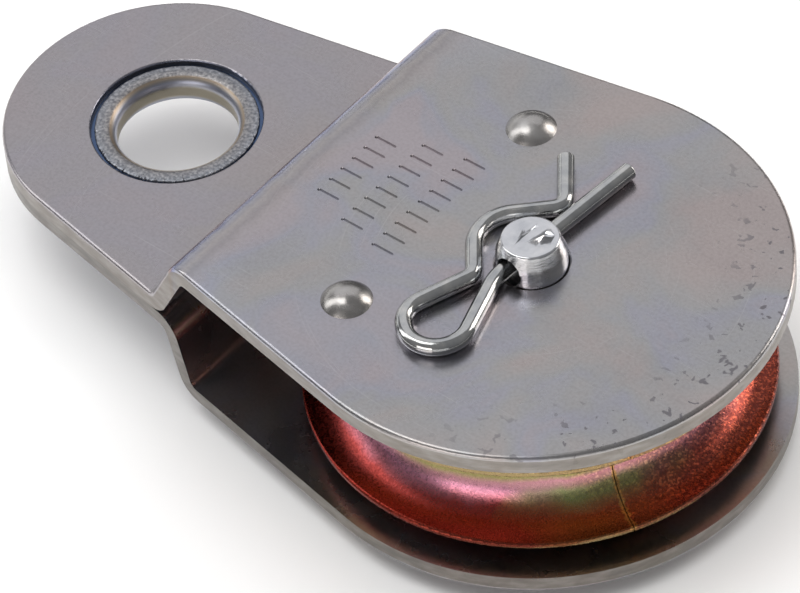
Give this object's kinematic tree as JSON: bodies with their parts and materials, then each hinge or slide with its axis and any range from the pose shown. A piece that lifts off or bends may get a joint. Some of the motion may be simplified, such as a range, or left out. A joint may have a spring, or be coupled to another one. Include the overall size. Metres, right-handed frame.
{
  "type": "rope pulley",
  "caption": "Fixed-eye rope pulley: grooved sheave on a removable axle pin between two joggled steel cheeks clamped by a flared eyelet, the pin held by a hairpin clip.",
  "frame": {"origin": "centre of the eye, on the plane where the two cheeks meet", "axes": "+X from the eye to the axle, +Z along the eye and the axle, out of the side with the hairpin clip"},
  "size_m": [0.1218, 0.0684, 0.0338],
  "materials": {
    "zinc_sheet": "clear zinc-plated sheet steel, satin",
    "eyelet_zinc": "zinc-plated steel, rough rolled rim",
    "yellow_zinc": "yellow-chromated zinc on steel, iridescent",
    "bush_bronze": "oil-filled sintered bronze",
    "bright_zinc": "bright zinc-plated steel"
  },
  "bodies": {
    "cheeks": {"upper_cheek": "zinc_sheet", "lower_cheek": "zinc_sheet", "eyelet": "eyelet_zinc", "upper_rivet_far": "bright_zinc", "upper_rivet_near": "bright_zinc", "lower_rivet_far": "bright_zinc", "lower_rivet_near": "bright_zinc"},
    "sheave": {"groove_ring": "yellow_zinc", "upper_web": "yellow_zinc", "lower_web": "yellow_zinc", "hub": "yellow_zinc", "bush": "bush_bronze"},
    "axle": {"axle_pin": "bright_zinc"},
    "clip": {"hairpin_clip": "bright_zinc"}
  },
  "joints": [
    {"name": "sheave_spin", "type": "hinge", "parent": "cheeks", "child": "sheave", "pos_m": [0.063, 0, 0], "axis": [0, 0, 1], "continuous": true},
    {"name": "axle_turn", "type": "hinge", "parent": "cheeks", "child": "axle", "pos_m": [0.063, 0, 0], "axis": [0, 0, 1], "range_deg": [-18, 205]},
    {"name": "clip_pull", "type": "slide", "parent": "axle", "child": "clip", "axis": [-0.0884, -0.9961, 0], "range_m": [0, 0.03], "deforming": ["hairpin_clip"]}
  ]
}
